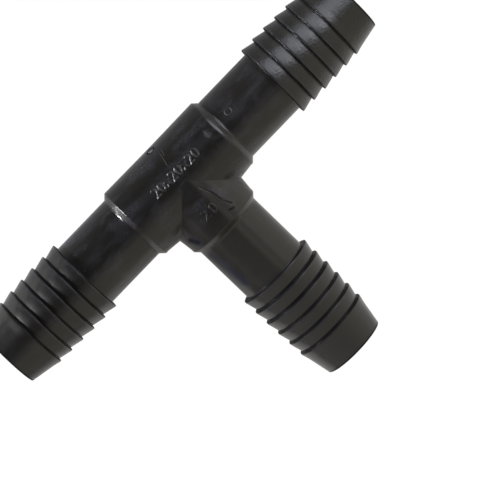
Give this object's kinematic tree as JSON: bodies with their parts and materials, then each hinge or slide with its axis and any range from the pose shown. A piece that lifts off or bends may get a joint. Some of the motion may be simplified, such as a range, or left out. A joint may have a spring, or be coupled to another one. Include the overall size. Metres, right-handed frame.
{
  "type": "barbed insert tee fitting",
  "caption": "Equal insert tee for soft irrigation pipe: a plain round hub with barbed hose spigots on its run and its branch, with saw-tooth barbs, a plain clamp length and tapered noses.",
  "frame": {"origin": "crossing of the run's axis and the branch's axis, in the middle of the hub", "axes": "+X along the run, -Y along the branch, +Z normal to the plane of the tee, which lies flat on its barbs"},
  "size_m": [0.1278, 0.0751, 0.0224],
  "materials": {
    "moulded_plastic": "satin"
  },
  "bodies": {
    "root": {"tee_hub": "moulded_plastic", "run_spigot_right": "moulded_plastic", "run_spigot_left": "moulded_plastic", "branch_spigot": "moulded_plastic"}
  },
  "joints": []
}
